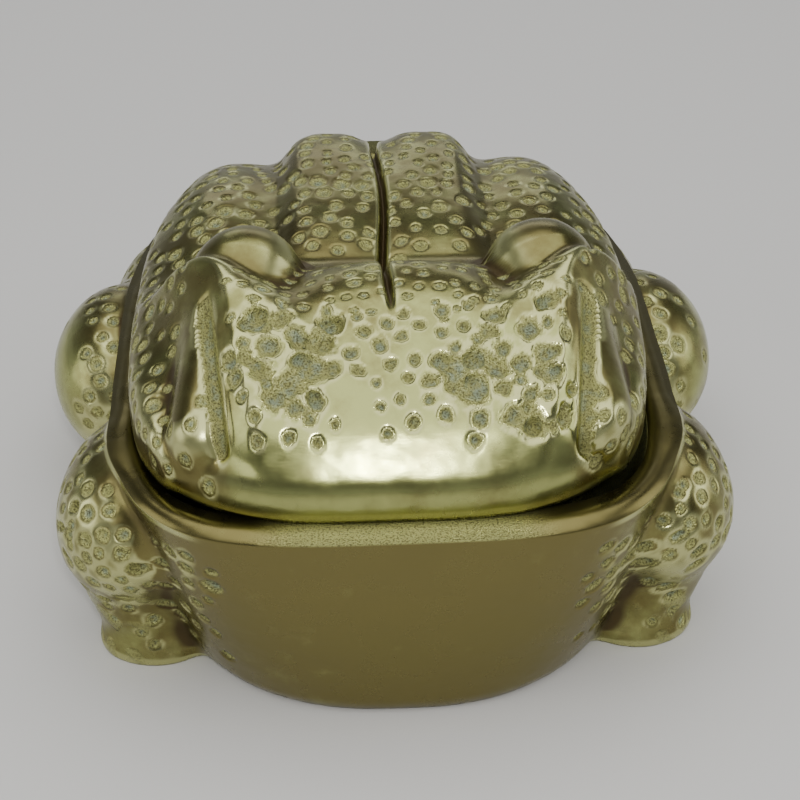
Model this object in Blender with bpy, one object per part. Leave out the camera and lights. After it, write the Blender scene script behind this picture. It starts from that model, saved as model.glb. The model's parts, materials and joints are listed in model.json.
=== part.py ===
"""Cast brass frog box: a tub with the legs cast on, a hinged lid that is the
frog's head and back, and the hinge pin.  Lengths are in millimetres until a
mesh is made, and the frog faces -Y with its feet on Z = 0."""

import math

import bmesh
import bpy
import numpy as np
from mathutils import Matrix, Vector

MILLIMETRE = 0.001

# Driving dimensions, in millimetres.
RIM_HEIGHT = 38.0            # flat top of the tub, where the lid rests
FLOOR_THICKNESS = 4.0        # bottom of the tub
LID_WALL = 3.4               # thickness of the cast lid
HOLLOW_RISE = 12.0           # how far its hollow rises above the low dome
SEAT_GAP = 0.3               # air between lid and rim
LID_DRIFT = 1.2              # the loose hinge lets the mouth sit this far left
HEAD_SHIFT = 1.4             # the head was modelled this far right of the back's middle

TUB_RIM = (46.5, 60.0)       # half width and half length at the rim
TUB_FOOT = (42.0, 57.0)      # the same at the bottom
MOUTH_OPENING = (41.3, 50.6)
MOUTH_CENTRE_Y = -2.6
TUB_FLOOR = (36.5, 47.5)
LID_RIM = (43.0, 54.0)
LID_CENTRE_Y = -2.0
SKIRT_HEIGHT = 15.0          # the low dome under the head and back

# Hinge at the back of the tub.
PIVOT = (59.0, 37.5)         # Y and Z of the pin's centre line
PIN_RADIUS = 1.5
PIN_CHAMFER = 0.3
BORE_RADIUS = 1.75
KNUCKLE_RADIUS = 4.0
KNUCKLE_HALF_WIDTH = 9.0
LUG_THICKNESS = 5.0
HINGE_GAP = 0.3
WEB_TOP = 41.0

# Mesh fineness.
COLUMNS = 96
TUB_ROWS = 15
LID_ROWS = 20
LID_INNER_ROWS = 9
ROUND_SIDES = 32
TUB_EYE = np.array([0.0, 0.0, -20.0])     # rays that find the tub's skin start here
LID_EYE = np.array([0.0, -2.0, 14.0])     # and those of the lid here
MARCH_STEPS = 70
BISECTIONS = 26
CALMING_PASSES = 4
JUT_LIMIT = 1.6              # millimetres


# Shapes as distance fields: below zero inside, above zero outside.

def smooth_min(a, b, blend):
    share = np.clip(0.5 + 0.5 * (b - a) / blend, 0.0, 1.0)
    return b + (a - b) * share - blend * share * (1.0 - share)


def smooth_max(a, b, blend):
    return -smooth_min(-a, -b, blend)


def round_cone(points, start, end, start_radius, end_radius):
    """Distance to a capsule whose radius changes from one end to the other."""
    start = np.array(start)
    along = np.array(end) - start
    share = np.clip((points - start) @ along / (along @ along), 0.0, 1.0)
    near = np.linalg.norm(points - start - share[:, None] * along, axis=1)
    return near - (start_radius + (end_radius - start_radius) * share)


def ellipsoid(points, centre, radii, pitch=0.0):
    """Distance to an ellipsoid turned by pitch degrees about X."""
    offset = points - np.array(centre)
    turn = math.radians(pitch)
    y = offset[:, 1] * math.cos(turn) + offset[:, 2] * math.sin(turn)
    z = offset[:, 2] * math.cos(turn) - offset[:, 1] * math.sin(turn)
    offset = np.stack([offset[:, 0], y, z], axis=1)
    radii = np.array(radii)
    near = np.linalg.norm(offset / radii, axis=1)
    steep = np.linalg.norm(offset / radii ** 2, axis=1)
    return near * (near - 1.0) / np.maximum(steep, 1e-6)


def pillow(points, centre, radii, power):
    """Distance to an ellipsoid with flatter faces, good close to its skin."""
    scaled = np.abs(points - np.array(centre)) / np.array(radii)
    return (np.sum(scaled ** power, axis=1) ** (1.0 / power) - 1.0) * min(radii)


def oval(x, y, half_width, half_length, power):
    """How far out a point lies on a rounded rectangle's outline (1 is on it)."""
    return (np.abs(x / half_width) ** power + np.abs(y / half_length) ** power) ** (1.0 / power)


def corner_power(y, front, back):
    """Squarer corners at the front, rounder ones at the back."""
    share = np.clip(0.5 + y / 40.0, 0.0, 1.0)
    return front + (back - front) * share


def tub_body(points):
    x, y, z = points.T
    rise = np.clip(z / RIM_HEIGHT, 0.0, 1.0)
    edge = 1.0 - 0.014 * np.clip(1.0 - z / 3.0, 0.0, 1.0) ** 2
    half_width = (TUB_FOOT[0] + (TUB_RIM[0] - TUB_FOOT[0]) * rise ** 0.8) * edge
    half_length = (TUB_FOOT[1] + (TUB_RIM[1] - TUB_FOOT[1]) * rise ** 0.8) * edge
    power = corner_power(y, 2.5 + 1.4 * rise, 2.6)
    return (oval(x, y, half_width, half_length, power) - 1.0) * half_width


def mirrored(points):
    return np.stack([np.abs(points[:, 0]), points[:, 1], points[:, 2]], axis=1)


def tub_field(points):
    """The tub with its shoulders, front legs, thighs, knees and feet."""
    half = mirrored(points)
    shape = tub_body(points)
    leg = ellipsoid(half, (42.8, -32.0, 25.0), (12.0, 17.0, 12.5))
    leg = smooth_min(leg, round_cone(half, (44.2, -34.0, 20.0), (40.6, -34.8, 2.0), 10.4, 8.4), 5.0)
    leg = smooth_min(leg, ellipsoid(half, (40.5, -37.5, 1.0), (9.5, 6.5, 4.0)), 3.0)
    shape = smooth_min(shape, leg, 3.0)
    knee = ellipsoid(half, (47.4, 13.0, 21.0), (13.8, 17.5, 14.5), 12.0)
    thigh = ellipsoid(half, (36.5, 32.0, 18.0), (16.0, 22.0, 18.0))
    hind_foot = ellipsoid(half, (43.0, -3.0, 2.0), (9.5, 20.0, 7.0))
    hind = smooth_min(knee, thigh, 4.0)
    hind = smooth_min(hind, hind_foot, 2.0)
    return smooth_min(shape, hind, 2.0)


def drifted(points):
    """The lid's own frame: its mouth has swung a little to the left."""
    drift = LID_DRIFT * (PIVOT[0] - points[:, 1]) / (PIVOT[0] + TUB_RIM[1])
    moved = points.copy()
    moved[:, 0] = points[:, 0] + drift
    return moved


def lid_outline(x, y):
    """1 on the lid's edge, seen from above."""
    power = corner_power(y - LID_CENTRE_Y, 3.3, 2.6)
    return oval(x, y - LID_CENTRE_Y, LID_RIM[0], LID_RIM[1], power)


def lid_skirt(points):
    """The low dome that the whole lid stands on, up to the rounded lip."""
    x, y, z = points.T
    out = lid_outline(x, y)
    up = np.clip(z - RIM_HEIGHT, 0.0, None) / SKIRT_HEIGHT
    return ((out ** 3.4 + up ** 2.4) ** 0.35 - 1.0) * SKIRT_HEIGHT


def head_wedge(half):
    """The forehead plate, rising to a brow at each upper corner, and the crown behind it."""
    x, y, z = half.T
    plate = (z - 50.0 - 0.46 * (y + 52.5)) * 0.908
    brow = 66.4 + 0.62 * (x - 27.0) - 0.40 * (y + 27.0)
    steepness = np.where(y < -27.0, 0.028, 0.012)
    crown = 62.2 - steepness * (y + 27.0) ** 2 - 0.012 * x ** 2
    top = (z - smooth_max(brow, crown, 2.5)) * 0.93
    nape = (y + 12.0) * 0.75 + (z - 57.0) * 0.66
    side = 0.68 * (x - 22.6) - 0.386 * (y + 52.5) + 0.622 * (z - 50.0)
    centre = np.clip(1.0 - x / 22.0, 0.0, 1.0)
    wedge = smooth_max(plate, top, 3.0 + 2.0 * centre)
    wedge = smooth_max(wedge, nape, 3.0)
    wedge = smooth_max(wedge, side, 0.9)
    return smooth_max(wedge, (lid_outline(x, y) - 1.0) * LID_RIM[1], 15.0)


def eye_egg(half):
    """A long egg for the eye and the cheek below it."""
    return round_cone(half, (24.0, -13.0, 54.8), (30.2, -43.0, 45.8), 9.3, 5.6)


def back_lobes(half):
    """The two long lobes beside the spine, the lobes outside them, and the flanks."""
    hump = ellipsoid(half, (0.0, 17.0, 36.0), (33.5, 33.0, 20.0))
    lobe = pillow(half, (8.9, 19.0, 45.5), (9.2, 27.0, 11.0), 3.4)
    spine = pillow(half, (0.0, 19.0, 45.5), (8.0, 26.0, 10.2), 2.6)
    flank_lobe = ellipsoid(half, (26.8, 16.0, 42.0), (13.0, 29.0, 12.0))
    flank = ellipsoid(half, (36.5, -10.0, 41.0), (6.5, 42.0, 7.5))
    back = smooth_min(hump, smooth_min(lobe, spine, 1.0), 2.0)
    back = smooth_min(back, flank_lobe, 2.0)
    return smooth_min(back, flank, 4.0)


def head_blend(y):
    """The head grows softly out of the back and meets the lip crisply."""
    return 0.8 + 3.2 * np.clip((y + 50.0) / 12.0, 0.0, 1.0)


def lid_field(points):
    points = drifted(points)
    head = mirrored(points - np.array((HEAD_SHIFT, 0.0, 0.0)))
    shape = smooth_min(lid_skirt(points), back_lobes(mirrored(points)), 3.0)
    shape = smooth_min(shape, head_wedge(head), head_blend(points[:, 1]))
    shape = smooth_min(shape, eye_egg(head), 1.0)
    return smooth_max(shape, (lid_outline(points[:, 0], points[:, 1]) - 1.0) * LID_RIM[0], 2.0)


def lid_hollow(points):
    """The inside of the lid follows the outside, but not up into the brows."""
    low_dome = lid_skirt(points) + LID_WALL - HOLLOW_RISE
    return smooth_max(lid_field(points) + LID_WALL, low_dome, 4.0)


def cast_rays(field, eye, directions, reach):
    """The outermost point of the field's surface along each ray."""
    count = len(directions)
    outside = np.full(count, reach)
    inside = np.full(count, 1.0)
    found = np.zeros(count, dtype=bool)
    for distance in np.linspace(reach, 1.0, MARCH_STEPS):
        level = field(eye + directions * distance)
        fresh = ~found & (level < 0.0)
        inside[fresh] = distance
        found |= fresh
        outside[~found] = distance
    for _ in range(BISECTIONS):
        middle = 0.5 * (inside + outside)
        within = field(eye + directions * middle[:, None]) < 0.0
        inside = np.where(within, middle, inside)
        outside = np.where(within, outside, middle)
    return eye + directions * inside[:, None]


def column_angles():
    return np.arange(COLUMNS) * (2.0 * math.pi / COLUMNS)


def level_ring(field, height, centre_y):
    """Where the skin crosses the plane at this height."""
    angles = column_angles()
    directions = np.stack([np.cos(angles), np.sin(angles), np.zeros(COLUMNS)], axis=1)
    return cast_rays(field, np.array([0.0, centre_y, height]), directions, 90.0)


def fan_rows(field, eye, start_ring, end_elevations, rows):
    """Rows of skin points between a ring and a set of elevations, by ray."""
    flat = start_ring - eye
    azimuth = np.arctan2(flat[:, 1], flat[:, 0])
    start = np.arctan2(flat[:, 2], np.hypot(flat[:, 0], flat[:, 1]))
    found = []
    for row in range(1, rows):
        elevation = start + (end_elevations - start) * row / rows
        directions = np.stack([np.cos(elevation) * np.cos(azimuth),
                               np.cos(elevation) * np.sin(azimuth),
                               np.sin(elevation)], axis=1)
        found.append(cast_rays(field, eye, directions, 110.0))
    return calm_rows(np.array(found), eye)


def calm_rows(skin, eye):
    """Slide lone points that jut out along their ray back to their neighbours."""
    for _ in range(CALMING_PASSES):
        reach = np.linalg.norm(skin - eye, axis=2)
        sides = np.roll(reach, 1, axis=1) + np.roll(reach, -1, axis=1)
        average = reach.copy()
        average[1:-1] = (sides[1:-1] + reach[:-2] + reach[2:]) / 4
        juts = np.abs(reach - average) > JUT_LIMIT
        share = np.where(juts, average / reach, 1.0)
        skin = eye + (skin - eye) * share[:, :, None]
    return list(skin)


def oval_ring(centre_y, half_width, half_length, front, back, height):
    angles = column_angles()
    x = np.cos(angles)
    y = np.sin(angles)
    power = corner_power(y * half_length, front, back)
    radius = 1.0 / oval(x, y, half_width, half_length, power)
    return np.stack([x * radius, centre_y + y * radius, np.full(COLUMNS, height)], axis=1)


def closed_mesh(name, rings, first_pole, last_pole):
    """A closed skin from rings of points, with a pole at each end."""
    sheet = bmesh.new()
    rows = []
    for ring in rings:
        rows.append([sheet.verts.new(point * MILLIMETRE) for point in ring])
    first = sheet.verts.new(np.array(first_pole) * MILLIMETRE)
    last = sheet.verts.new(np.array(last_pole) * MILLIMETRE)
    count = len(rings[0])
    for lower, upper in zip(rows[:-1], rows[1:]):
        for column in range(count):
            after = (column + 1) % count
            sheet.faces.new((lower[column], lower[after], upper[after], upper[column]))
    for column in range(count):
        after = (column + 1) % count
        sheet.faces.new((first, rows[0][after], rows[0][column]))
        sheet.faces.new((last, rows[-1][column], rows[-1][after]))
    bmesh.ops.recalc_face_normals(sheet, faces=sheet.faces[:])
    mesh = bpy.data.meshes.new(name)
    sheet.to_mesh(mesh)
    sheet.free()
    part = bpy.data.objects.new(name, mesh)
    bpy.context.scene.collection.objects.link(part)
    return part


def pivot_point():
    return Vector((0.0, PIVOT[0], PIVOT[1])) * MILLIMETRE


def lathe_x(name, profile, sides):
    """A solid of revolution about X from (x, radius) pairs, on the hinge axis."""
    angles = np.arange(sides) * (2.0 * math.pi / sides)
    rings = []
    for x, radius in profile:
        rings.append(np.stack([np.full(sides, x),
                               radius * np.cos(angles),
                               radius * np.sin(angles)], axis=1))
    ends = ((profile[0][0], 0.0, 0.0), (profile[-1][0], 0.0, 0.0))
    part = closed_mesh(name, rings, ends[0], ends[1])
    part.location = pivot_point()
    return part


def rod(name, half_length, radius, sides=ROUND_SIDES, centre_x=0.0):
    profile = [(centre_x - half_length, radius), (centre_x + half_length, radius)]
    return lathe_x(name, profile, sides)


def block(name, low, high):
    sheet = bmesh.new()
    bmesh.ops.create_cube(sheet, size=1.0)
    low = np.array(low)
    high = np.array(high)
    for vertex in sheet.verts:
        share = np.array(vertex.co) + 0.5
        vertex.co = (low + (high - low) * share) * MILLIMETRE
    mesh = bpy.data.meshes.new(name)
    sheet.to_mesh(mesh)
    sheet.free()
    part = bpy.data.objects.new(name, mesh)
    bpy.context.scene.collection.objects.link(part)
    return part


def combine(part, tool, operation):
    """Cut or join a helper solid, which stays hidden on the part."""
    step = part.modifiers.new(tool.name, "BOOLEAN")
    step.operation = operation
    step.solver = "EXACT"
    step.object = tool
    tool.hide_render = True
    tool.hide_viewport = True
    tool.display_type = "WIRE"


def brass(name, colour, roughness):
    material = bpy.data.materials.new(name)
    material.use_nodes = True
    shader = material.node_tree.nodes["Principled BSDF"]
    shader.inputs["Base Color"].default_value = (*colour, 1.0)
    shader.inputs["Metallic"].default_value = 1.0
    shader.inputs["Roughness"].default_value = roughness
    return material


def shade_smooth(part):
    for face in part.data.polygons:
        face.use_smooth = True


def make_base_casting():
    """The tub, with the hinge lugs and the notch that the knuckle turns in."""
    foot = level_ring(tub_field, 0.0, 0.0)
    rim = level_ring(tub_field, RIM_HEIGHT, 0.0)
    reach = rim - TUB_EYE
    rim_elevation = np.arctan2(reach[:, 2], np.hypot(reach[:, 0], reach[:, 1]))
    skin = fan_rows(tub_field, TUB_EYE, foot, rim_elevation, TUB_ROWS)
    inside = [oval_ring(MOUTH_CENTRE_Y, *MOUTH_OPENING, 4.6, 3.0, RIM_HEIGHT)]
    for share in (0.3, 0.62, 0.86):
        size = [top + (low - top) * share for top, low in zip(MOUTH_OPENING, TUB_FLOOR)]
        height = RIM_HEIGHT - share * (RIM_HEIGHT - FLOOR_THICKNESS)
        inside.append(oval_ring(MOUTH_CENTRE_Y, *size, 4.6 - share, 3.0, height))
    for inset, height in ((0.97, 1.2), (0.90, 0.0)):
        size = [length * inset for length in TUB_FLOOR]
        inside.append(oval_ring(MOUTH_CENTRE_Y, *size, 3.6, 3.0, FLOOR_THICKNESS + height))
    rings = [foot] + skin + [rim] + inside
    part = closed_mesh("base_casting", rings, (0.0, 0.0, 0.0),
                       (0.0, MOUTH_CENTRE_Y, FLOOR_THICKNESS))
    inner = KNUCKLE_HALF_WIDTH + HINGE_GAP
    middle = inner + LUG_THICKNESS / 2
    combine(part, rod("knuckle_notch", inner, KNUCKLE_RADIUS + 0.6), "DIFFERENCE")
    for side in (-1, 1):
        name = "left" if side < 0 else "right"
        combine(part, rod(f"lug_head_{name}", LUG_THICKNESS / 2, KNUCKLE_RADIUS,
                          centre_x=side * middle), "UNION")
        spread = sorted((side * inner, side * (inner + LUG_THICKNESS)))
        low = (spread[0], PIVOT[0] - KNUCKLE_RADIUS, RIM_HEIGHT - 12.0)
        high = (spread[1], PIVOT[0] + KNUCKLE_RADIUS - 0.05, PIVOT[1])
        combine(part, block(f"lug_stem_{name}", low, high), "UNION")
    combine(part, rod("lug_bore", inner + LUG_THICKNESS + 2.0, BORE_RADIUS), "DIFFERENCE")
    return part


def make_lid_casting():
    """The head and back as one shell, with the knuckle cast on behind."""
    seat = RIM_HEIGHT + SEAT_GAP
    rim = level_ring(lid_field, seat, LID_CENTRE_Y)
    zenith = np.full(COLUMNS, math.pi / 2)
    skin = fan_rows(lid_field, LID_EYE, rim, zenith, LID_ROWS)
    top = cast_rays(lid_field, LID_EYE, np.array([[0.0, 0.0, 1.0]]), 110.0)[0]

    inner_rim = level_ring(lid_hollow, seat, LID_CENTRE_Y)
    inner_skin = fan_rows(lid_hollow, LID_EYE, inner_rim, zenith, LID_INNER_ROWS)
    inner_top = cast_rays(lid_hollow, LID_EYE, np.array([[0.0, 0.0, 1.0]]), 110.0)[0]
    rings = list(reversed(skin)) + [rim, inner_rim] + inner_skin
    part = closed_mesh("lid_casting", rings, top, inner_top)
    pivot = pivot_point()
    part.data.transform(Matrix.Translation(-pivot))
    part.location = pivot
    combine(part, rod("knuckle", KNUCKLE_HALF_WIDTH, KNUCKLE_RADIUS), "UNION")
    low = (-KNUCKLE_HALF_WIDTH + 0.05, LID_CENTRE_Y + LID_RIM[1] - 3.0, seat + 0.2)
    high = (KNUCKLE_HALF_WIDTH - 0.05, PIVOT[0], WEB_TOP)
    combine(part, block("knuckle_web", low, high), "UNION")
    combine(part, rod("knuckle_bore", KNUCKLE_HALF_WIDTH + 2.0, BORE_RADIUS), "DIFFERENCE")
    return part


def make_hinge_pin():
    """A plain rod, cut flush with the lugs and broken at the edges."""
    end = KNUCKLE_HALF_WIDTH + HINGE_GAP + LUG_THICKNESS
    half = [(end, PIN_RADIUS - PIN_CHAMFER), (end - PIN_CHAMFER, PIN_RADIUS)]
    profile = [(-x, radius) for x, radius in half] + list(reversed(half))
    return lathe_x("hinge_pin", profile, ROUND_SIDES)


def main():
    for old in list(bpy.data.objects):
        bpy.data.objects.remove(old, do_unlink=True)
    castings = brass("aged_brass", (0.60, 0.48, 0.22), 0.32)
    pin_metal = brass("pin_brass", (0.50, 0.41, 0.24), 0.40)
    base = make_base_casting()
    lid = make_lid_casting()
    pin = make_hinge_pin()
    for part in (base, lid):
        part.data.materials.append(castings)
        shade_smooth(part)
    pin.data.materials.append(pin_metal)
    shade_smooth(pin)


main()
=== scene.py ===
# %% [markdown]
# # A cast brass frog box
# The object is a small box of three pieces: a tub with the legs cast on, a lid that is the
# frog's head and back, and the pin of the hinge behind.  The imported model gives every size
# and place.  This script adds what the foundry and the years gave it: crisp brows, the slit
# behind each brow, a spine groove, hundreds of hammered-looking pits, and aged brass.

import json
import math

import bpy
import numpy as np
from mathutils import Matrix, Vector


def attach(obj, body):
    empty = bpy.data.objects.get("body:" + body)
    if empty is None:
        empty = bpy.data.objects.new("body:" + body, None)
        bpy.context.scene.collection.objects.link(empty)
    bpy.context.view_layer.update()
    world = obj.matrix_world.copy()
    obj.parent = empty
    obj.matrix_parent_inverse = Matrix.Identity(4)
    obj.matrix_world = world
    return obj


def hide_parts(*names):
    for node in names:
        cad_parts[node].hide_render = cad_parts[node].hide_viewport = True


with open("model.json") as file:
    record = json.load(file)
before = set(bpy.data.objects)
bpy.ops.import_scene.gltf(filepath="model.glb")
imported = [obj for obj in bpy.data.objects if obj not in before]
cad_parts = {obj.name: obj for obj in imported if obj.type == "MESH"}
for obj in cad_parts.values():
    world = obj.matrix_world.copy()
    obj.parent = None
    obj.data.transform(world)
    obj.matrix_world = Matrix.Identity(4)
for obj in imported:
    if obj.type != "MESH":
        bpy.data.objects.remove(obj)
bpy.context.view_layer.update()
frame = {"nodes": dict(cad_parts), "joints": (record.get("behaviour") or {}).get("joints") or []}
MM = 0.001

# %% [markdown]
# ## Sizes that come from the frame
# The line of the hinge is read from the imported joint, because the lid has to turn about it.
# The plane where lid and tub meet, the outlines of both and the walls are the driving sizes
# that the solids were cast from, in millimetres.

# %% Read the line of the hinge and set the driving sizes
hinge = frame["joints"][0]
PIVOT_Y = hinge["pos_m"][1] / MM
PIVOT_Z = hinge["pos_m"][2] / MM
SEAT_GAP = 0.3
RIM_HEIGHT = 38.0
SEAT = RIM_HEIGHT + SEAT_GAP
TUB_RIM = (46.5, 60.0)
TUB_FOOT = (42.0, 57.0)
MOUTH_OPENING = (41.3, 50.6)
MOUTH_CENTRE_Y = -2.6
TUB_FLOOR = (36.5, 47.5)
FLOOR_THICKNESS = 4.0
LID_RIM = (43.0, 54.0)
LID_CENTRE_Y = -2.0
SKIRT_HEIGHT = 15.0
LID_WALL = 3.4
HOLLOW_RISE = 12.0
LID_DRIFT = 1.2
HEAD_SHIFT = 1.4
KNUCKLE_RADIUS = 4.0
KNUCKLE_HALF_WIDTH = 9.0
LUG_THICKNESS = 5.0
HINGE_GAP = 0.3
BORE_RADIUS = 1.75
print("hinge line at y", round(PIVOT_Y, 2), "z", round(PIVOT_Z, 2), "mm")

# %% [markdown]
# ## Shapes as distances
# A frog has no straight edges to extrude, but each swelling is close to an egg.  So the shape
# is written as a distance: a function that is below zero inside the metal.  Two shapes are
# joined by taking the smaller distance, and a soft minimum gives the fillet that a wax
# pattern would have between them.

# %% Joining and shaping distances
def smooth_min(a, b, blend):
    share = np.clip(0.5 + 0.5 * (b - a) / blend, 0.0, 1.0)
    return b + (a - b) * share - blend * share * (1.0 - share)


def smooth_max(a, b, blend):
    return -smooth_min(-a, -b, blend)


def ramp(value, start, end):
    """0 at start, 1 at end, with soft ends."""
    share = np.clip((value - start) / (end - start), 0.0, 1.0)
    return share * share * (3.0 - 2.0 * share)


def ellipsoid(points, centre, radii, pitch=0.0):
    offset = points - np.array(centre)
    turn = math.radians(pitch)
    y = offset[:, 1] * math.cos(turn) + offset[:, 2] * math.sin(turn)
    z = offset[:, 2] * math.cos(turn) - offset[:, 1] * math.sin(turn)
    offset = np.stack([offset[:, 0], y, z], axis=1)
    radii = np.array(radii)
    near = np.linalg.norm(offset / radii, axis=1)
    steep = np.linalg.norm(offset / radii ** 2, axis=1)
    return near * (near - 1.0) / np.maximum(steep, 1e-6)


def pillow(points, centre, radii, power):
    scaled = np.abs(points - np.array(centre)) / np.array(radii)
    return (np.sum(scaled ** power, axis=1) ** (1.0 / power) - 1.0) * min(radii)


def round_cone(points, start, end, start_radius, end_radius):
    start = np.array(start)
    along = np.array(end) - start
    share = np.clip((points - start) @ along / (along @ along), 0.0, 1.0)
    near = np.linalg.norm(points - start - share[:, None] * along, axis=1)
    return near - (start_radius + (end_radius - start_radius) * share)


def oval(x, y, half_width, half_length, power):
    return (np.abs(x / half_width) ** power + np.abs(y / half_length) ** power) ** (1.0 / power)


def corner_power(y, front, back):
    share = np.clip(0.5 + y / 40.0, 0.0, 1.0)
    return front + (back - front) * share


def mirrored(points):
    return np.stack([np.abs(points[:, 0]), points[:, 1], points[:, 2]], axis=1)


# %% [markdown]
# ## The tub
# The tub is a rounded box that tapers a little to the foot.  Shoulders, front legs, knees,
# thighs and hind feet are only swellings on its wall, as the frog was modelled in low relief.

# %% The tub's distance
def tub_body(points):
    x, y, z = points.T
    rise = np.clip(z / RIM_HEIGHT, 0.0, 1.0)
    edge = 1.0 - 0.014 * np.clip(1.0 - z / 3.0, 0.0, 1.0) ** 2
    half_width = (TUB_FOOT[0] + (TUB_RIM[0] - TUB_FOOT[0]) * rise ** 0.8) * edge
    half_length = (TUB_FOOT[1] + (TUB_RIM[1] - TUB_FOOT[1]) * rise ** 0.8) * edge
    power = corner_power(y, 2.5 + 1.4 * rise, 2.6)
    return (oval(x, y, half_width, half_length, power) - 1.0) * half_width


def tub_limbs(points):
    half = mirrored(points)
    leg = ellipsoid(half, (42.8, -32.0, 25.0), (12.0, 17.0, 12.5))
    leg = smooth_min(leg, round_cone(half, (44.2, -34.0, 20.0), (40.6, -34.8, 2.0), 10.4, 8.4), 5.0)
    leg = smooth_min(leg, ellipsoid(half, (40.5, -37.5, 1.0), (9.5, 6.5, 4.0)), 3.0)
    knee = ellipsoid(half, (47.4, 13.0, 21.0), (13.8, 17.5, 14.5), 12.0)
    thigh = ellipsoid(half, (36.5, 32.0, 18.0), (16.0, 22.0, 18.0))
    hind_foot = ellipsoid(half, (43.0, -3.0, 2.0), (9.5, 20.0, 7.0))
    hind = smooth_min(knee, thigh, 4.0)
    return leg, smooth_min(hind, hind_foot, 2.0)


def tub_field(points):
    leg, hind = tub_limbs(points)
    shape = smooth_min(tub_body(points), leg, 3.0)
    shape = smooth_min(shape, hind, 2.0)
    from_pin = np.hypot(points[:, 1] - PIVOT_Y, points[:, 2] - PIVOT_Z) - KNUCKLE_RADIUS - 0.6
    beside = np.abs(points[:, 0]) - KNUCKLE_HALF_WIDTH - HINGE_GAP
    return np.maximum(shape, -np.maximum(from_pin, beside))


# %% [markdown]
# ## The lid
# The lid stands on a low dome, the skirt.  On it sit the forehead, a wedge whose upper
# corners rise to the brows, an egg for each eye, and the lobes of the back.  The slit behind
# each brow and the groove down the spine are cut by adding to the distance along a line.

# %% The lid's distance
def drifted(points):
    """The lid's own frame: its mouth has swung a little on the loose hinge."""
    moved = points.copy()
    moved[:, 0] += LID_DRIFT * (PIVOT_Y - points[:, 1]) / (PIVOT_Y + TUB_RIM[1])
    return moved


def head_half(points):
    """Mirrored about the middle of the head, which sits a little right of the back's."""
    return mirrored(points - np.array((HEAD_SHIFT, 0.0, 0.0)))


def lid_outline(x, y):
    power = corner_power(y - LID_CENTRE_Y, 3.3, 2.6)
    return oval(x, y - LID_CENTRE_Y, LID_RIM[0], LID_RIM[1], power)


def lid_skirt(points):
    x, y, z = points.T
    out = lid_outline(x, y)
    up = np.clip(z - RIM_HEIGHT, 0.0, None) / SKIRT_HEIGHT
    return ((out ** 3.4 + up ** 2.4) ** 0.35 - 1.0) * SKIRT_HEIGHT


PLATE_FOOT_Y = -52.5
PLATE_FOOT_Z = 50.0
PLATE_CLIMB = 0.46
PLATE_HALF_WIDTH = 22.6
BROW_Y = -27.0
BROW_PEAK_X = 27.0
BROW_PEAK_Z = 66.4
CROWN_TOP = 62.2


def head_wedge(half):
    """The forehead plate, cut off above by the brows and the crown and beside by a steep cheek."""
    x, y, z = half.T
    past_foot = y - PLATE_FOOT_Y
    past_brow = y - BROW_Y
    plate = (z - PLATE_FOOT_Z - PLATE_CLIMB * past_foot) * 0.908
    brow = BROW_PEAK_Z + 0.62 * (x - BROW_PEAK_X) - 0.40 * past_brow
    steepness = np.where(past_brow < 0.0, 0.028, 0.012)
    crown = CROWN_TOP - steepness * past_brow ** 2 - 0.012 * x ** 2
    top = (z - smooth_max(brow, crown, 2.5)) * 0.93
    nape = (y + 12.0) * 0.75 + (z - 57.0) * 0.66
    side = 0.68 * (x - PLATE_HALF_WIDTH) - 0.386 * past_foot + 0.622 * (z - PLATE_FOOT_Z)
    centre = np.clip(1.0 - x / 22.0, 0.0, 1.0)
    wedge = smooth_max(plate, top, 3.0 + 2.0 * centre)
    wedge = smooth_max(wedge, nape, 3.0)
    wedge = smooth_max(wedge, side, 0.9)
    return smooth_max(wedge, (lid_outline(x, y) - 1.0) * LID_RIM[1], 15.0)


def eye_egg(half):
    return round_cone(half, (24.0, -13.0, 54.8), (30.2, -43.0, 45.8), 9.3, 5.6)


def back_lobes(half):
    hump = ellipsoid(half, (0.0, 17.0, 36.0), (33.5, 33.0, 20.0))
    lobe = pillow(half, (8.9, 19.0, 45.5), (9.2, 27.0, 11.0), 3.4)
    spine = pillow(half, (0.0, 19.0, 45.5), (8.0, 26.0, 10.2), 2.6)
    flank_lobe = ellipsoid(half, (26.8, 16.0, 42.0), (13.0, 29.0, 12.0))
    flank = ellipsoid(half, (36.5, -10.0, 41.0), (6.5, 42.0, 7.5))
    back = smooth_min(hump, smooth_min(lobe, spine, 1.0), 2.0)
    back = smooth_min(back, flank_lobe, 2.0)
    return smooth_min(back, flank, 4.0)


def head_blend(y):
    """The head grows softly out of the back and meets the lip crisply."""
    return 0.8 + 3.2 * np.clip((y + 50.0) / 12.0, 0.0, 1.0)


def smooth_lid(points):
    """The lid before its slits and its spine groove are cut."""
    points = drifted(points)
    half = mirrored(points)
    shape = smooth_min(lid_skirt(points), back_lobes(half), 3.0)
    head = head_half(points)
    shape = smooth_min(shape, head_wedge(head), head_blend(points[:, 1]))
    shape = smooth_min(shape, eye_egg(head), 1.0)
    return smooth_max(shape, (lid_outline(points[:, 0], points[:, 1]) - 1.0) * LID_RIM[0], 2.0)


SLIT_FRONT = (27.3, -48.0)
SLIT_BACK = (30.2, -24.5)
SLIT_WIDTH = 1.05
SLIT_RUN_IN = 3.0
SLIT_DEPTH = 1.8
SPINE_DEPTH = 2.0
SPINE_WIDTH = 0.55


def slit_share(points):
    x, y, _ = head_half(drifted(points)).T
    middle = np.interp(y, (SLIT_FRONT[1], SLIT_BACK[1]), (SLIT_FRONT[0], SLIT_BACK[0]))
    front_end = ramp(y, SLIT_FRONT[1] - 1.0, SLIT_FRONT[1] + SLIT_RUN_IN)
    back_end = ramp(-y, -SLIT_BACK[1] - 1.0, -SLIT_BACK[1] + SLIT_RUN_IN)
    return np.exp(-((x - middle) / SLIT_WIDTH) ** 4) * (front_end * back_end)


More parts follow.
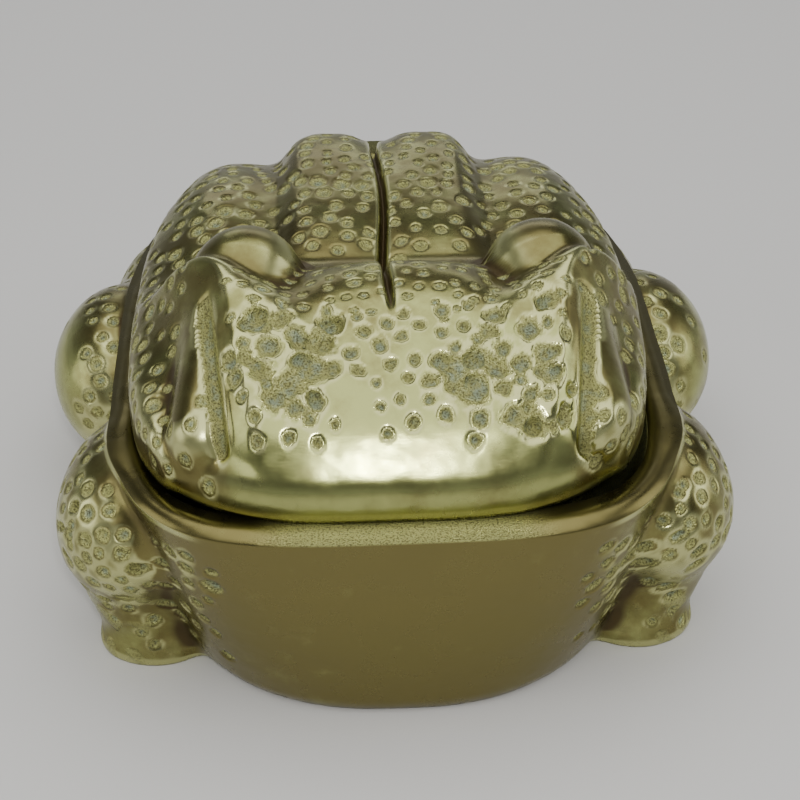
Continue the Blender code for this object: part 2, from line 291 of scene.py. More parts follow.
def spine_share(points):
    x, y, _ = drifted(points).T
    ends = ramp(y, -32.0, -22.0) * ramp(-y, -52.0, -44.0)
    wander = 0.5 * np.sin(y * 0.13)
    return np.exp(-((x - wander) / SPINE_WIDTH) ** 2) * ends


def lid_field(points):
    return smooth_lid(points) + SLIT_DEPTH * slit_share(points) + SPINE_DEPTH * spine_share(points)


def lid_hollow(points):
    low_dome = lid_skirt(points) + LID_WALL - HOLLOW_RISE
    return smooth_max(smooth_lid(points) + LID_WALL, low_dome, 4.0)


# %% [markdown]
# ## From distances to a skin
# A mesh of the shape is found by sending rays out from a point inside and stopping each where
# the distance changes sign.  For the lid the rays spread from a square grid bent into a disc,
# which keeps the faces even and leaves no pole on the frog's back.

# %% Rays and rings
TUB_EYE = np.array([0.0, 0.0, -20.0])
LID_EYE = np.array([0.0, LID_CENTRE_Y, 14.0])
REACH = 92.0
MARCH_STEPS = 64
BISECTIONS = 16


def cast_rays(field, eye, directions):
    """The outermost point of the surface along each ray."""
    count = len(directions)
    outside = np.full(count, REACH)
    inside = np.full(count, 1.0)
    found = np.zeros(count, dtype=bool)
    for distance in np.linspace(REACH, 1.0, MARCH_STEPS):
        level = field(eye + directions * distance)
        fresh = ~found & (level < 0.0)
        inside[fresh] = distance
        found |= fresh
        outside[~found] = distance
    for _ in range(BISECTIONS):
        middle = 0.5 * (inside + outside)
        within = field(eye + directions * middle[:, None]) < 0.0
        inside = np.where(within, middle, inside)
        outside = np.where(within, outside, middle)
    return eye + directions * inside[:, None]


def directions_at(azimuth, elevation):
    flat = np.cos(elevation)
    return np.stack([flat * np.cos(azimuth), flat * np.sin(azimuth), np.sin(elevation)], axis=1)


def level_ring(field, height, centre_y, azimuth):
    eye = np.array([0.0, centre_y, height])
    return cast_rays(field, eye, directions_at(azimuth, np.zeros(len(azimuth))))


def elevation_from(eye, ring):
    offset = ring - eye
    return np.arctan2(offset[:, 2], np.hypot(offset[:, 0], offset[:, 1]))


# %% A square grid bent into a disc
def disc_grid(side):
    """Azimuth and share of the radius for each point of a side by side grid."""
    line = np.linspace(-1.0, 1.0, side)
    a, b = [part.ravel() for part in np.meshgrid(line, line)]
    wide = np.abs(a) > np.abs(b)
    radius = np.where(wide, a, b)
    safe = np.where(np.abs(radius) < 1e-9, 1.0, radius)
    angle = np.where(wide, math.pi / 4 * b / safe, math.pi / 2 - math.pi / 4 * a / safe)
    return np.arctan2(radius * np.sin(angle), radius * np.cos(angle)), np.abs(radius)


def grid_faces(side):
    corner = (np.arange(side - 1)[:, None] * side + np.arange(side - 1)).ravel()
    return np.stack([corner, corner + 1, corner + side + 1, corner + side], axis=1)


def grid_border(side):
    """The grid's outer points in order, turning the same way as its faces."""
    near = np.arange(side - 1)
    right = np.arange(side - 1) * side + side - 1
    far = side * side - 1 - np.arange(side - 1)
    left = (side - 1 - np.arange(side - 1)) * side
    return np.concatenate([near, right, far, left])


def band_faces(first, second):
    """Quads between two closed rings of point numbers."""
    return np.stack([first, np.roll(first, -1), np.roll(second, -1), second], axis=1)


def shell_volume(points, quads, fans):
    """Signed volume in cubic millimetres: below zero where the faces look inwards."""
    parts = [quads[:, [0, 1, 2]], quads[:, [0, 2, 3]]]
    for pole, ring in fans:
        parts.append(np.stack([ring, np.roll(ring, -1), np.full(len(ring), pole)], axis=1))
    a, b, c = np.moveaxis(points[np.concatenate(parts)], 1, 0)
    return float(np.sum(np.cross(a, b) * c) / 6.0)


def make_piece(name, shells):
    """A mesh object from closed shells, each of points in mm, quads, and (pole, ring) fans."""
    points = np.concatenate([shell[0] for shell in shells])
    faces = []
    first = 0
    for own, quads, fans in shells:
        inwards = shell_volume(own, quads, fans) < 0.0
        loops = [list(quad) for quad in (quads + first).tolist()]
        for pole, ring in fans:
            ends = zip((ring + first).tolist(), np.roll(ring + first, -1).tolist())
            loops.extend([here, after, int(pole) + first] for here, after in ends)
        faces.extend(loop[::-1] if inwards else loop for loop in loops)
        first += len(own)
        print(name, "shell of", len(own), "points, turned round" if inwards else "points")
    mesh = bpy.data.meshes.new(name)
    mesh.from_pydata((points * MM).tolist(), [], faces)
    mesh.validate()
    mesh.polygons.foreach_set("use_smooth", np.ones(len(mesh.polygons), dtype=bool))
    piece = bpy.data.objects.new(name, mesh)
    bpy.context.scene.collection.objects.link(piece)
    return piece, points


# %% Cast the lid
LID_SIDE = 285
LID_INNER_ROWS = 11
CEILING_SLOPE = 0.10


def cast_lid():
    azimuth, share = disc_grid(LID_SIDE)
    border = grid_border(LID_SIDE)
    rim = level_ring(lid_field, SEAT, LID_CENTRE_Y, azimuth[border])
    order = np.argsort(azimuth[border])
    low = np.interp(azimuth, azimuth[border][order], elevation_from(LID_EYE, rim)[order],
                    period=2 * math.pi)
    elevation = math.pi / 2 + (low - math.pi / 2) * share
    skin = cast_rays(lid_field, LID_EYE, directions_at(azimuth, elevation))
    skin[border] = rim
    points = [skin]
    faces = [grid_faces(LID_SIDE)]
    ring = border
    inner_rim = level_ring(lid_hollow, SEAT, LID_CENTRE_Y, azimuth[border])
    start = elevation_from(LID_EYE, inner_rim)
    count = len(skin)
    top = cast_rays(lid_hollow, LID_EYE, np.array([[0.0, 0.0, 1.0]]))
    for row in range(LID_INNER_ROWS):
        tilt = start + (math.pi / 2 - start) * row / LID_INNER_ROWS
        inner = cast_rays(lid_hollow, LID_EYE, directions_at(azimuth[border], tilt))
        if row == 0:
            inner = inner_rim
        from_top = np.hypot(inner[:, 0], inner[:, 1] - LID_CENTRE_Y)
        inner[:, 2] = np.minimum(inner[:, 2], top[0, 2] + CEILING_SLOPE * from_top)
        following = np.arange(len(border)) + count
        points.append(inner)
        faces.append(band_faces(ring, following)[:, ::-1])
        ring = following
        count += len(border)
    points.append(top)
    return np.concatenate(points), np.concatenate(faces), [(count, ring[::-1])], len(skin)


lid_points, lid_quads, lid_fans, lid_skin_count = cast_lid()
print("lid skin", lid_skin_count, "points, top at", round(lid_points[:, 2].max(), 2), "mm")

# %% Cast the tub
TUB_COLUMNS = 960
TUB_ROWS = 84


def oval_ring(azimuth, half_width, half_length, front, back, height):
    x = np.cos(azimuth)
    y = np.sin(azimuth)
    power = corner_power(y * half_length, front, back)
    radius = 1.0 / oval(x, y, half_width, half_length, power)
    return np.stack([x * radius, MOUTH_CENTRE_Y + y * radius, np.full(len(x), height)], axis=1)


def cast_tub():
    azimuth = np.arange(TUB_COLUMNS) * (2 * math.pi / TUB_COLUMNS)
    foot = level_ring(tub_field, 0.0, 0.0, azimuth)
    rim = level_ring(tub_field, RIM_HEIGHT, 0.0, azimuth)
    low = elevation_from(TUB_EYE, foot)
    high = elevation_from(TUB_EYE, rim)
    rings = [foot]
    for row in range(1, TUB_ROWS):
        tilt = low + (high - low) * row / TUB_ROWS
        rings.append(cast_rays(tub_field, TUB_EYE, directions_at(azimuth, tilt)))
    rings.append(rim)
    rings.append(oval_ring(azimuth, *MOUTH_OPENING, 4.6, 3.0, RIM_HEIGHT))
    for share in (0.02, 0.3, 0.62, 0.86):
        size = [top + (bottom - top) * share for top, bottom in zip(MOUTH_OPENING, TUB_FLOOR)]
        height = RIM_HEIGHT - share * (RIM_HEIGHT - FLOOR_THICKNESS)
        rings.append(oval_ring(azimuth, *size, 4.6 - share, 3.0, height))
    for inset, height in ((0.985, 2.4), (0.96, 0.9), (0.90, 0.1)):
        size = [length * inset for length in TUB_FLOOR]
        rings.append(oval_ring(azimuth, *size, 3.6, 3.0, FLOOR_THICKNESS + height))
    points = np.concatenate(rings + [np.array([[0.0, 0.0, 0.0],
                                               [0.0, MOUTH_CENTRE_Y, FLOOR_THICKNESS]])])
    numbers = [np.arange(TUB_COLUMNS) + row * TUB_COLUMNS for row in range(len(rings))]
    faces = np.concatenate([band_faces(a, b) for a, b in zip(numbers[:-1], numbers[1:])])
    last = len(points) - 1
    fans = [(last - 1, numbers[0][::-1]), (last, numbers[-1])]
    return points, faces, fans


tub_points, tub_quads, tub_fans = cast_tub()
print("tub", len(tub_points), "points, width", round(np.ptp(tub_points[:, 0]), 2), "mm")

# %% [markdown]
# ## The hinge behind
# Two lugs stand up from the tub's rear wall and one knuckle reaches down from the lid between
# them, all three bored for the pin.  Each is a loop swept across the hinge: an outer outline
# seen from the pin's centre, and the round bore.

# %% Sweep an outline round the pin
HINGE_SIDES = 96
BEVEL = 0.35


def swept_eye(reach, first_x, last_x):
    """A bored plate between two X places; reach gives the outline's distance by angle."""
    angle = np.arange(HINGE_SIDES) * (2 * math.pi / HINGE_SIDES)
    bore = np.full(HINGE_SIDES, BORE_RADIUS)
    outline = reach(angle)
    rows = ((bore, first_x), (outline - BEVEL, first_x), (outline, first_x + BEVEL),
            (outline, last_x - BEVEL), (outline - BEVEL, last_x), (bore, last_x))
    rings = [np.stack([np.full(HINGE_SIDES, x), PIVOT_Y + radius * np.cos(angle),
                       PIVOT_Z + radius * np.sin(angle)], axis=1) for radius, x in rows]
    numbers = [np.arange(HINGE_SIDES) + row * HINGE_SIDES for row in range(len(rows))]
    closed = numbers + numbers[:1]
    return np.concatenate(rings), np.concatenate([band_faces(a, b) for a, b in zip(closed, closed[1:])])


def box_reach(angle, low_y, high_y, low_z, high_z):
    """Distance from the pin's centre to a box round it, by angle."""
    across, up = np.cos(angle), np.sin(angle)
    with np.errstate(divide="ignore", invalid="ignore"):
        to_side = np.where(across > 0, (high_y - PIVOT_Y) / across, (low_y - PIVOT_Y) / across)
        to_level = np.where(up > 0, (high_z - PIVOT_Z) / up, (low_z - PIVOT_Z) / up)
    return np.minimum(np.abs(to_side), np.abs(to_level))


LUG_FOOT = RIM_HEIGHT - 12.0
WEB_START_Y = LID_CENTRE_Y + LID_RIM[1] - 3.0
WEB_LOW = SEAT + 0.2
WEB_TOP = 41.0


def lug_reach(angle):
    stem = box_reach(angle, PIVOT_Y - KNUCKLE_RADIUS, PIVOT_Y + KNUCKLE_RADIUS - 0.05, LUG_FOOT, PIVOT_Z)
    return np.where(np.sin(angle) > 0.0, KNUCKLE_RADIUS, stem)


def knuckle_reach(angle):
    web = box_reach(angle, WEB_START_Y, PIVOT_Y, WEB_LOW, WEB_TOP)
    over_web = (np.cos(angle) < 0.0) & (np.sin(angle) > 0.1)
    return np.where(over_web, np.maximum(web, KNUCKLE_RADIUS), KNUCKLE_RADIUS)


inner_x = KNUCKLE_HALF_WIDTH + HINGE_GAP
lug_points, lug_faces = swept_eye(lug_reach, inner_x, inner_x + LUG_THICKNESS)
far_points, far_faces = swept_eye(lug_reach, -inner_x - LUG_THICKNESS, -inner_x)
knuckle_points, knuckle_faces = swept_eye(knuckle_reach, -KNUCKLE_HALF_WIDTH, KNUCKLE_HALF_WIDTH)
print("lug", len(lug_faces), "faces, knuckle", len(knuckle_faces), "faces")

# %% [markdown]
# ## One way to write nodes
# Both the pits and the metal are node trees.  This small class places a node, sets its
# settings, then fills its sockets with numbers or links.  Its outputs can be added and
# multiplied in plain Python, which is easier to read than forty Math nodes.

# %% A graph of nodes and its signals
class Signal:
    def __init__(self, graph, socket):
        self.graph = graph
        self.socket = socket

    def math(self, operation, first, second):
        return self.graph.node("ShaderNodeMath", {"operation": operation}, {0: first, 1: second})[0]

    def __add__(self, other):
        return self.math("ADD", self, other)

    def __radd__(self, other):
        return self.math("ADD", other, self)

    def __sub__(self, other):
        return self.math("SUBTRACT", self, other)

    def __rsub__(self, other):
        return self.math("SUBTRACT", other, self)

    def __mul__(self, other):
        return self.math("MULTIPLY", self, other)

    def __rmul__(self, other):
        return self.math("MULTIPLY", other, self)

    def __truediv__(self, other):
        return self.math("DIVIDE", self, other)

    def __rtruediv__(self, other):
        return self.math("DIVIDE", other, self)


class Placed:
    def __init__(self, graph, node):
        self.graph = graph
        self.node = node

    def __getitem__(self, key):
        return Signal(self.graph, find_socket(self.node.outputs, key))


def find_socket(sockets, key):
    """A socket by its number, its identifier or its name."""
    if isinstance(key, int):
        return sockets[key]
    for socket in sockets:
        if socket.identifier == key:
            return socket
    return sockets[key]


class Graph:
    def __init__(self, tree):
        self.tree = tree

    def node(self, kind, settings=None, sockets=None):
        made = self.tree.nodes.new(kind)
        for key, value in (settings or {}).items():
            setattr(made, key, value)
        for key, value in (sockets or {}).items():
            target = find_socket(made.inputs, key)
            if isinstance(value, Signal):
                self.tree.links.new(value.socket, target)
            else:
                target.default_value = value
        return Placed(self, made)

    def span(self, value, start, end, low=0.0, high=1.0):
        """Maps start..end to low..high with soft ends."""
        return self.node("ShaderNodeMapRange", {"interpolation_type": "SMOOTHSTEP", "clamp": True},
                         {"Value": value, "From Min": start, "From Max": end,
                          "To Min": low, "To Max": high})["Result"]

    def mix(self, share, first, second):
        return self.node("ShaderNodeMix", {"data_type": "RGBA", "clamp_factor": True},
                         {"Factor_Float": share, "A_Color": first, "B_Color": second})["Result_Color"]

    def noise(self, position, scale, detail=2.0, roughness=0.5):
        return self.node("ShaderNodeTexNoise", {"noise_dimensions": "3D"},
                         {"Vector": position, "Scale": scale, "Detail": detail,
                          "Roughness": roughness})["Fac"]


print("node helpers ready")

# %% [markdown]
# ## The pits
# The toad's warts on the real box are shallow dents punched into the pattern before it was
# moulded, so each casting has hundreds of them, all a little different.  Geometry Nodes suit
# that: points are scattered over the skin where a mask allows them, each gets its own radius,
# and every vertex then looks up its nearest dent and sinks by a rounded profile.  The share
# of sinking is kept as an attribute, and the metal's material reads it later.

# %% Build the tree that dents a skin
PIT_INPUTS = (
    ("Spacing", "NodeSocketFloat"), ("Smallest", "NodeSocketFloat"), ("Largest", "NodeSocketFloat"),
    ("Depth", "NodeSocketFloat"), ("Wall", "NodeSocketFloat"), ("Ragged", "NodeSocketFloat"),
    ("Floor Grain", "NodeSocketFloat"), ("Waviness", "NodeSocketFloat"),
    ("Stretch", "NodeSocketVector"), ("Where", "NodeSocketString"), ("Seed", "NodeSocketInt"),
    ("Metal", "NodeSocketMaterial"),
)


def pit_tree():
    tree = bpy.data.node_groups.new("punched_pits", "GeometryNodeTree")
    tree.interface.new_socket("Skin", in_out="INPUT", socket_type="NodeSocketGeometry")
    for title, kind in PIT_INPUTS:
        tree.interface.new_socket(title, in_out="INPUT", socket_type=kind)
    tree.interface.new_socket("Skin", in_out="OUTPUT", socket_type="NodeSocketGeometry")
    graph = Graph(tree)
    given = graph.node("NodeGroupInput")
    mask = graph.node("GeometryNodeInputNamedAttribute", {"data_type": "FLOAT"},
                      {"Name": given["Where"]})["Attribute"]
    spread = 4.0 / (given["Spacing"] * given["Spacing"])
    dents = graph.node("GeometryNodeDistributePointsOnFaces", {"distribute_method": "POISSON"},
                       {"Mesh": given["Skin"], "Distance Min": given["Spacing"],
                        "Density Max": spread, "Density Factor": mask, "Seed": given["Seed"]})
    spot = graph.node("GeometryNodeInputPosition")["Position"]
    cluster = graph.span(graph.noise(spot, 90.0, 1.0), 0.35, 0.65, 0.0, 1.0)
    chance = graph.node("FunctionNodeRandomValue", {"data_type": "FLOAT"},
                        {"Min_001": 0.0, "Max_001": 1.0, "Seed": given["Seed"]})["Value_001"]
    size = chance * 0.55 + cluster * 0.45
    radius = given["Smallest"] + (given["Largest"] - given["Smallest"]) * size * size
    sized = graph.node("GeometryNodeStoreNamedAttribute", {"data_type": "FLOAT", "domain": "POINT"},
                       {"Geometry": dents["Points"], "Name": "dent_radius", "Value": radius})["Geometry"]
    shake = graph.node("ShaderNodeTexNoise", {"noise_dimensions": "3D"},
                       {"Vector": spot, "Scale": 380.0, "Detail": 4.0,
                        "Roughness": 0.62})["Color"]
    centred = graph.node("ShaderNodeVectorMath", {"operation": "SUBTRACT"},
                         {0: shake, 1: (0.5, 0.5, 0.5)})[0]
    moved = graph.node("ShaderNodeVectorMath", {"operation": "SCALE"},
                       {0: centred, "Scale": given["Ragged"]})[0]
    place = graph.node("ShaderNodeVectorMath", {"operation": "ADD"}, {0: spot, 1: moved})[0]
    nearest = graph.node("GeometryNodeSampleNearest", {"domain": "POINT"},
                         {"Geometry": sized, "Sample Position": place})["Index"]
    centre = graph.node("GeometryNodeSampleIndex", {"data_type": "FLOAT_VECTOR", "domain": "POINT"},
                        {"Geometry": sized, "Value": graph.node("GeometryNodeInputPosition")["Position"],
                         "Index": nearest})["Value"]
    stored = graph.node("GeometryNodeInputNamedAttribute", {"data_type": "FLOAT"},
                        {"Name": "dent_radius"})["Attribute"]
    reach = graph.node("GeometryNodeSampleIndex", {"data_type": "FLOAT", "domain": "POINT"},
                       {"Geometry": sized, "Value": stored, "Index": nearest})["Value"]
    gap = graph.node("ShaderNodeVectorMath", {"operation": "SUBTRACT"}, {0: place, 1: centre})[0]
    gap = graph.node("ShaderNodeVectorMath", {"operation": "MULTIPLY"}, {0: gap, 1: given["Stretch"]})[0]
    apart = graph.node("ShaderNodeVectorMath", {"operation": "LENGTH"}, {0: gap})["Value"] / reach
    bowl = graph.span(apart, 1.0, given["Wall"])
    grain = graph.noise(spot, 900.0, 3.0) - 0.5
    earlier = graph.node("GeometryNodeInputNamedAttribute", {"data_type": "FLOAT"},
                         {"Name": "pit"})["Attribute"]
    either = graph.node("ShaderNodeMath", {"operation": "MAXIMUM"}, {0: earlier, 1: bowl})[0]
    marked = graph.node("GeometryNodeStoreNamedAttribute", {"data_type": "FLOAT", "domain": "POINT"},
                        {"Geometry": given["Skin"], "Name": "pit", "Value": either})["Geometry"]
    depth = given["Depth"] * (reach / given["Largest"] * 0.5 + 0.5)
    unfiled = (graph.noise(spot, 120.0, 2.0) - 0.5) * given["Waviness"]
    sink = bowl * (depth + grain * given["Floor Grain"]) + unfiled
    down = graph.node("ShaderNodeVectorMath", {"operation": "SCALE"},
                      {0: graph.node("GeometryNodeInputNormal")["Normal"], "Scale": sink * -1.0})[0]
    dented = graph.node("GeometryNodeSetPosition", None, {"Geometry": marked, "Offset": down})["Geometry"]
    real = graph.node("GeometryNodeRealizeInstances", None, {"Geometry": dented})["Geometry"]
    painted = graph.node("GeometryNodeSetMaterial", None,
                         {"Geometry": real, "Material": given["Metal"]})["Geometry"]
    graph.node("NodeGroupOutput", None, {"Skin": painted})
    return tree


PIT_TREE = pit_tree()


def punch(piece, metal, **values):
    """Adds one round of dents to a piece; lengths are in metres."""
    modifier = piece.modifiers.new(values["where"], "NODES")
    modifier.node_group = PIT_TREE
    sockets = {item.name: item.identifier for item in PIT_TREE.interface.items_tree
               if item.in_out == "INPUT"}
    wanted = {"Spacing": values["spacing"], "Smallest": values["smallest"],
              "Largest": values["largest"], "Depth": values["depth"],
              "Wall": values["wall"], "Ragged": values["ragged"],
              "Floor Grain": values["grain"], "Waviness": values.get("waviness", 0.0),
              "Stretch": values.get("stretch", (1.0, 1.0, 1.0)),
              "Where": values["where"], "Seed": values["seed"], "Metal": metal}
    for title, value in wanted.items():
        modifier[sockets[title]] = value
    return modifier


def freeze(piece):
    """Turns the evaluated piece into a plain mesh and drops its modifiers."""
    graph = bpy.context.evaluated_depsgraph_get()
    finished = bpy.data.meshes.new_from_object(piece.evaluated_get(graph))
    piece.modifiers.clear()
    piece.data = finished
    finished.name = piece.name
    return piece


def store(piece, title, values):
    """A number for every vertex, such as how many pits may land there."""
    attribute = piece.data.attributes.new(title, "FLOAT", "POINT")
    attribute.data.foreach_set("value", np.asarray(values, dtype=np.float32))


print("pit tree has", len(PIT_TREE.nodes), "nodes")

# %% [markdown]
# ## Aged brass
# Brass that is handled stays bright on the high spots, goes olive and brown on the sheltered
# slopes, and keeps a pale, gritty crust in every pit where no cloth reaches.  Hollows and pit
# floors are also darkened in colour as painted shade over a little grime, and the middle of each
# pit is tinted bluish as a painted sky reflection.  One material does all of it from attributes
# on the mesh: the share of a pit, how far a point lies above or below its surroundings, where
# the casting was left rough, and how much it is handled.

# %% Build the metal
def new_graph(name):
    material = bpy.data.materials.new(name)
    material.use_nodes = True
    material.node_tree.nodes.clear()
    return material, Graph(material.node_tree)


BRIGHT_BRASS = (0.40, 0.42, 0.155, 1.0)
BROWN_FILM = (0.19, 0.165, 0.06, 1.0)
WORN_BRASS = (0.52, 0.52, 0.235, 1.0)
GRIME_AND_SHADE_BRASS = (0.085, 0.062, 0.026, 1.0)
GOLD_CRUST = (0.46, 0.46, 0.17, 1.0)
CRUST_SKY_REFLECTION = (0.36, 0.46, 0.36, 1.0)
DARK_SPECK = (0.09, 0.08, 0.03, 1.0)
PIT_DIRT_AND_SHADE = (0.05, 0.042, 0.02, 1.0)


def aged_brass():
    material, graph = new_graph("aged_brass_casting")
    place = graph.node("ShaderNodeTexCoord")["Object"]
    pit = graph.node("ShaderNodeAttribute", {"attribute_name": "pit"})["Fac"]
    hollow = graph.node("ShaderNodeAttribute", {"attribute_name": "hollow"})["Fac"]
    proud = graph.node("ShaderNodeAttribute", {"attribute_name": "proud"})["Fac"]
    rough_cast = graph.node("ShaderNodeAttribute", {"attribute_name": "rough_cast"})["Fac"]
    polish = graph.node("ShaderNodeAttribute", {"attribute_name": "polish"})["Fac"]

    cloud = graph.noise(place, 38.0, 3.0, 0.55)
    mottle = graph.noise(place, 170.0, 4.0, 0.6)
    grit = graph.noise(place, 3000.0, 2.0, 0.6)
    crust = graph.noise(place, 420.0, 3.0, 0.6)

    film = graph.span(cloud * 0.5 + mottle * 0.5 - polish * 0.16, 0.30, 0.62)
    bright = graph.mix(film, BRIGHT_BRASS, BROWN_FILM)
    handled = graph.span(proud, 0.3, 1.0) * graph.span(polish, -1.0, -0.3)
    worn = graph.mix(handled, bright, WORN_BRASS)
    # painted shade: the colour darkens towards dark brown in hollows, over a little grime
    shade = graph.span(hollow, 0.12, 0.70)
    metal = graph.mix(shade, worn, GRIME_AND_SHADE_BRASS)

    # painted sky reflection: the deepest parts of pits and the rough inside turn bluish grey over the
    # gold crust
    sky_reflection = graph.span(pit + rough_cast * 0.8, 0.45, 1.0) * graph.span(crust, 0.40, 0.62)
    crust_and_sky_reflection = graph.mix(sky_reflection * 0.75, GOLD_CRUST, CRUST_SKY_REFLECTION)
    speck = graph.span(grit, 0.50, 0.60)
    floor = graph.mix(speck * 0.72, crust_and_sky_reflection, DARK_SPECK)
    # painted shade in the pits: their floors darken where the surface is hollow, with some dirt
    floor = graph.mix(shade * 0.25, floor, PIT_DIRT_AND_SHADE)
    gritty = graph.span(pit + rough_cast, 0.12, 0.45)
    surface = graph.mix(gritty, metal, floor)

    smear = graph.noise(place, 90.0, 5.0, 0.65)
    roughness = graph.span(smear, 0.3, 0.75, 0.17, 0.30) + gritty * 0.14 + shade * 0.22 + film * 0.07
    metallic = 1.0 - gritty * 0.25 - shade * 0.15

    scratch = graph.node("ShaderNodeTexNoise", {"noise_dimensions": "3D"},
                         {"Vector": graph.node("ShaderNodeMapping", None,
                                               {"Vector": place, "Scale": (0.25, 1.0, 1.0)})[0],
                          "Scale": 1800.0, "Detail": 2.0})["Fac"]
    relief = gritty * grit * 3.0 + scratch * 0.035 + mottle * 0.10
    bump = graph.node("ShaderNodeBump", None,
                      {"Strength": 0.55, "Distance": 0.0004, "Height": relief})["Normal"]
    shader = graph.node("ShaderNodeBsdfPrincipled", None,
                        {"Base Color": surface, "Roughness": roughness, "Metallic": metallic,
                         "Normal": bump})
    graph.node("ShaderNodeOutputMaterial", None, {"Surface": shader["BSDF"]})
    return material


CASTING_METAL = aged_brass()
print("brass material has", len(CASTING_METAL.node_tree.nodes), "nodes")


# %% Build the pin's metal
def drawn_brass():
    material, graph = new_graph("drawn_pin_brass")
    place = graph.node("ShaderNodeTexCoord")["Object"]
    tarnish = graph.span(graph.noise(place, 260.0, 4.0, 0.6), 0.38, 0.62)
    colour = graph.mix(tarnish, (0.60, 0.50, 0.27, 1.0), (0.33, 0.26, 0.13, 1.0))
    around = graph.node("ShaderNodeMapping", None, {"Vector": place, "Scale": (0.1, 1.0, 1.0)})[0]
    lines = graph.noise(around, 2600.0, 2.0)
    bump = graph.node("ShaderNodeBump", None,
                      {"Strength": 0.2, "Distance": 0.0001, "Height": lines})["Normal"]
    shader = graph.node("ShaderNodeBsdfPrincipled", None,
                        {"Base Color": colour, "Metallic": 1.0,
                         "Roughness": graph.span(tarnish, 0.0, 1.0, 0.28, 0.48), "Normal": bump})
    graph.node("ShaderNodeOutputMaterial", None, {"Surface": shader["BSDF"]})
    return material


PIN_METAL = drawn_brass()

# %% [markdown]
# ## High spots and hollows
# Polishing reaches what stands proud and misses what lies low.  The difference between each
# point and a blurred copy of the surface, measured along its normal, says which it is.  The
# hollow number also darkens the metal's colour there as painted shade.

# %% Measure how proud or hollow every vertex is
WIDE_ROUNDS = 40
NARROW_ROUNDS = 8
WIDE_LIFT = 0.45
NARROW_LIFT = 0.12


def measure_relief(piece, skin_count):
    """Stores both numbers; the first skin_count vertices are the outer skin."""
    mesh = piece.data
    count = len(mesh.vertices)
    points = np.empty(count * 3)
    mesh.vertices.foreach_get("co", points)
    points = points.reshape(-1, 3) / MM
    normals = np.empty(count * 3)
    mesh.vertices.foreach_get("normal", normals)
    normals = normals.reshape(-1, 3)
    edges = np.empty(len(mesh.edges) * 2, dtype=np.int64)
    mesh.edges.foreach_get("vertices", edges)
    start, end = edges.reshape(-1, 2).T
    both = np.concatenate([start, end])
    other = np.concatenate([end, start])
    links = np.maximum(np.bincount(both, minlength=count), 1)
    blurred = points.copy()
    for done in range(1, WIDE_ROUNDS + 1):
        sums = [np.bincount(both, weights=blurred[other, axis], minlength=count) for axis in range(3)]
        blurred = 0.5 * blurred + 0.5 * np.stack(sums, axis=1) / links[:, None]
        if done == NARROW_ROUNDS:
            proud = np.sum((points - blurred) * normals, axis=1) / NARROW_LIFT
    hollow = np.sum((blurred - points) * normals, axis=1) / WIDE_LIFT
    skin = np.arange(count) < skin_count
    store(piece, "hollow", np.clip(hollow, 0.0, 1.0) * skin)
    store(piece, "proud", np.clip(proud, 0.0, 1.0) * skin)
    print(piece.name, "proud share", round(float(np.mean(proud > 0.5)), 3),
          "hollow share", round(float(np.mean(hollow > 0.3)), 3))


# %% [markdown]
# ## The lid casting
# Masks say where pits may land.  The forehead has few, large and ragged ones that run into
# each other beside the brows; the back and flanks have an even cover of small ovals; the eyes
# and the lip are left smooth, because they were filed and polished.

# %% Masks for the lid
INSIDE_GRIT = 0.8
HINGE_GRIT = 0.26
KNUCKLE_FRONT_Y = LID_CENTRE_Y + LID_RIM[1] - 3.2
FAULT_X = 16.5
FAULT_Y = -38.5


def lid_masks(points):
    own = drifted(points)
    half = mirrored(own)
    x, y, z = half.T
    skirt = lid_skirt(own)
    back = back_lobes(half)
    head = head_half(own)
    wedge = head_wedge(head)
    eye = eye_egg(head)
    on_eye = 1.0 - ramp(eye - np.minimum(wedge, np.minimum(skirt, back)), -0.8, 0.6)
    level = z - PLATE_CLIMB * (y - PLATE_FOOT_Y)
    on_plate = ramp(level, 45.0, 46.4) * ramp(z, 47.5, 49.0) * ramp(-head[:, 0], -27.0, -25.0)
    on_plate = on_plate * (1.0 - on_eye) * ramp(-y, 26.0, 32.0)
    on_nape = ramp(y, -33.0, -28.0) * ramp(-y, 10.0, 13.0) * ramp(-head[:, 0], -28.0, -25.5)
    on_nape = on_nape * (1.0 - on_eye) * ramp(z, 54.0, 56.0)
    on_back = ramp(y, -7.0, -1.0) * ramp(z, 40.5, 42.5)
    on_flank = ramp(x, 28.0, 32.0) * ramp(z, 40.0, 41.5) * (1.0 - on_eye) * ramp(y, -47.0, -42.0)
    on_cheek = ramp(x, 27.0, 30.0) * ramp(-y, 41.0, 45.0) * ramp(z, 40.5, 42.0) * 0.8
    small = np.maximum(np.maximum(on_back, on_flank), on_cheek)
    clear = 1.0 - np.clip(spine_share(points) * 3.0, 0.0, 1.0)
    return on_plate * clear, on_nape * clear, small * clear


